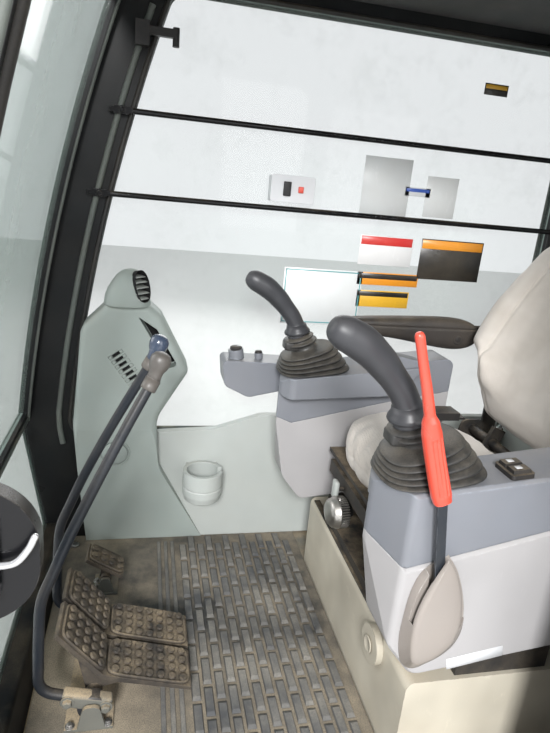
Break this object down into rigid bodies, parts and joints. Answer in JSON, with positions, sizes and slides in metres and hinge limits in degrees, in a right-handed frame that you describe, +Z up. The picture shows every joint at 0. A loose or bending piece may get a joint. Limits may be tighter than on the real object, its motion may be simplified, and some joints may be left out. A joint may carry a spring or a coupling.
{
  "type": "excavator operator cab",
  "caption": "Excavator operator cab, door swung open, with seat, joystick consoles, travel pedals and levers, lock lever, window guard bars and roof hatch.",
  "frame": {"origin": "centre of the four cab mounts, on the plane that their pads rest on", "axes": "+X towards the operator's left, where the door is; -Y the cab's front; +Z up"},
  "size_m": [1.2935, 1.9894, 1.711],
  "materials": {
    "steel_dark": "satin",
    "mat": "matte",
    "glass": "gloss",
    "roof_paint": "satin",
    "lining": "matte",
    "bar_black": "gloss",
    "black_plastic": "satin",
    "chrome": "gloss",
    "zinc": "satin",
    "riser_paint": "satin",
    "suspension": "matte",
    "knob": "satin",
    "fabric": "matte",
    "console_light": "satin",
    "console_dark": "satin",
    "bellows": "matte",
    "grip": "satin",
    "lock_red": "gloss",
    "cover": "satin",
    "trim": "satin",
    "trim_light": "satin",
    "box_white": "satin",
    "lever_steel": "satin",
    "pedal_rubber": "matte"
  },
  "bodies": {
    "cab": {"base_frame": "steel_dark", "floor_mat": "mat", "right_side_frame": "steel_dark", "left_side_frame": "steel_dark", "rear_wall": "steel_dark", "front_cross_members": "steel_dark", "front_window_sash": "steel_dark", "front_glass": "glass", "right_side_glass": "glass", "rear_and_quarter_glass": "glass", "roof": "roof_paint", "roof_lining": "lining", "guard_bars": "bar_black", "window_hooks": "black_plastic", "door_striker": "black_plastic", "striker_bar": "chrome", "hinge_brackets": "steel_dark", "seat_riser": "riser_paint", "seat_suspension": "suspension", "suspension_knobs": "knob", "left_console_lower": "console_light", "left_console_upper": "console_dark", "right_console_lower": "console_light", "right_console_upper": "console_dark", "console_feet": "suspension", "boot_rings": "bellows", "lock_lever_cover": "cover", "console_switches": "black_plastic", "monitor_pod": "console_dark", "key_box": "console_dark", "trim_column": "trim", "defroster_vent": "black_plastic", "side_trim": "trim_light", "switch_box": "box_white", "rear_shelf": "trim_light", "pedal_brackets": "suspension"},
    "door": {"door_leaf": "steel_dark", "door_glass": "glass", "door_handle": "black_plastic", "door_hinge_leaves": "steel_dark"},
    "hatch": {"hatch_lid": "roof_paint"},
    "seat": {"seat_pan": "suspension", "seat_cushion": "fabric", "belt_buckle": "black_plastic", "armrest_plates": "suspension"},
    "backrest": {"seat_backrest": "fabric", "headrest": "fabric", "backrest_frame": "suspension"},
    "armrest_right": {"armrest_right": "black_plastic"},
    "armrest_left": {"armrest_left": "black_plastic"},
    "left_stick": {"left_stick": "grip"},
    "right_stick": {"right_stick": "grip"},
    "lock_lever": {"lock_lever_bar": "lever_steel", "lock_lever_grip": "lock_red"},
    "travel_left": {"travel_pedal_left": "pedal_rubber", "travel_lever_left": "lever_steel"},
    "travel_right": {"travel_pedal_right": "pedal_rubber", "travel_lever_right": "lever_steel"},
    "aux_pedal": {"aux_pedal": "pedal_rubber"}
  },
  "joints": [
    {"name": "door_hinge", "type": "hinge", "parent": "cab", "child": "door", "pos_m": [0.582, 0.19, 0.84], "axis": [0, 0, 1], "range_deg": [-172, 0]},
    {"name": "hatch_hinge", "type": "hinge", "parent": "cab", "child": "hatch", "pos_m": [0, 0.238, 1.695], "axis": [1, 0, 0], "range_deg": [-75, 0]},
    {"name": "seat_slide", "type": "slide", "parent": "cab", "child": "seat", "axis": [0, 1, 0], "range_m": [-0.06, 0.06]},
    {"name": "backrest_recline", "type": "hinge", "parent": "seat", "child": "backrest", "pos_m": [0, 0.352, 0.56], "axis": [1, 0, 0], "range_deg": [-8, 20]},
    {"name": "armrest_right_hinge", "type": "hinge", "parent": "seat", "child": "armrest_right", "pos_m": [-0.287, 0.415, 0.806], "axis": [1, 0, 0], "range_deg": [-105, 0]},
    {"name": "armrest_left_hinge", "type": "hinge", "parent": "seat", "child": "armrest_left", "pos_m": [0.287, 0.415, 0.806], "axis": [1, 0, 0], "range_deg": [0, 105]},
    {"name": "left_stick_tilt", "type": "hinge", "parent": "cab", "child": "left_stick", "pos_m": [0.272, -0.058, 0.686], "axis": [1, 0, 0], "range_deg": [-18, 18], "stiffness_Nm_per_rad": 20},
    {"name": "right_stick_tilt", "type": "hinge", "parent": "cab", "child": "right_stick", "pos_m": [-0.272, -0.108, 0.686], "axis": [1, 0, 0], "range_deg": [-18, 18], "stiffness_Nm_per_rad": 20},
    {"name": "lock_lever_swing", "type": "hinge", "parent": "cab", "child": "lock_lever", "pos_m": [0.3675, -0.03, 0.45], "axis": [1, 0, 0], "range_deg": [0, 40]},
    {"name": "travel_left_rock", "type": "hinge", "parent": "cab", "child": "travel_left", "pos_m": [0.11, -0.592, 0.14], "axis": [1, 0, 0], "range_deg": [-8, 8], "stiffness_Nm_per_rad": 90},
    {"name": "travel_right_rock", "type": "hinge", "parent": "cab", "child": "travel_right", "pos_m": [-0.046, -0.592, 0.14], "axis": [1, 0, 0], "range_deg": [-8, 8], "stiffness_Nm_per_rad": 90},
    {"name": "aux_pedal_rock", "type": "hinge", "parent": "cab", "child": "aux_pedal", "pos_m": [-0.2515, -0.592, 0.134], "axis": [1, 0, 0], "range_deg": [-8, 8], "stiffness_Nm_per_rad": 12}
  ]
}
